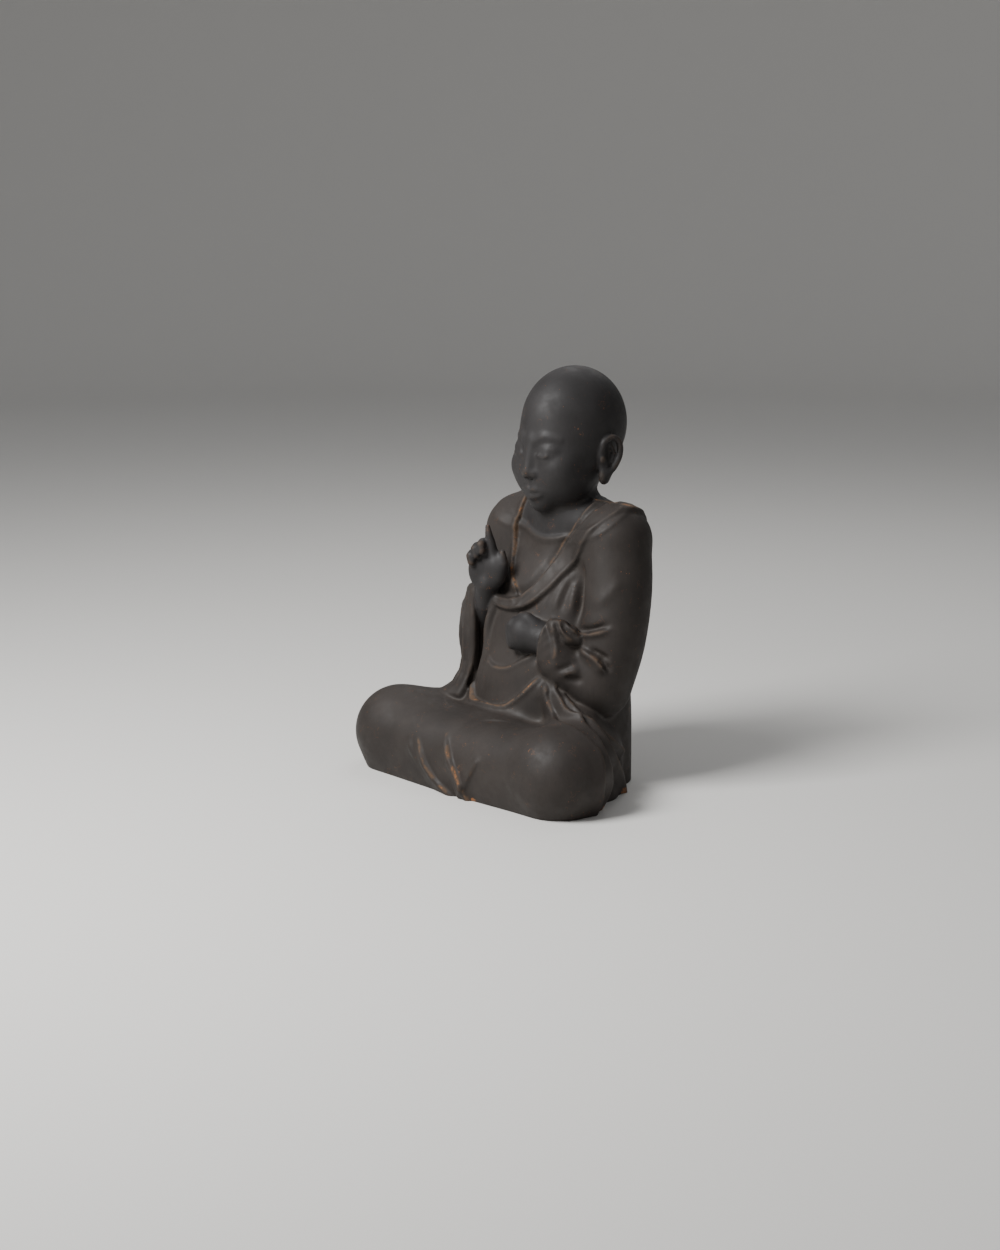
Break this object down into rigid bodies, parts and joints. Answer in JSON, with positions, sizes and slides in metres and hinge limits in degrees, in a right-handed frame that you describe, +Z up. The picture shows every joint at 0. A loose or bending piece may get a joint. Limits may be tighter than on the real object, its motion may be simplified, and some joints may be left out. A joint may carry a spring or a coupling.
{
  "type": "monk statue",
  "caption": "Seated monk with a shaved head and layered robes, one hand raised and one closed at the chest, carved in dark lacquered wood with a flat underside.",
  "frame": {"origin": "on the flat underside, on the figure's middle plane, below its spine", "axes": "+Z up, -Y the way the figure faces, +X to the figure's left"},
  "size_m": [0.5286, 0.3744, 0.6495],
  "materials": {
    "lacquered_wood": "dark brown lacquer over carved wood, satin, worn to bare orange wood along the edges of the cloth"
  },
  "bodies": {
    "root": {"monk_statue": "lacquered_wood"}
  },
  "joints": []
}
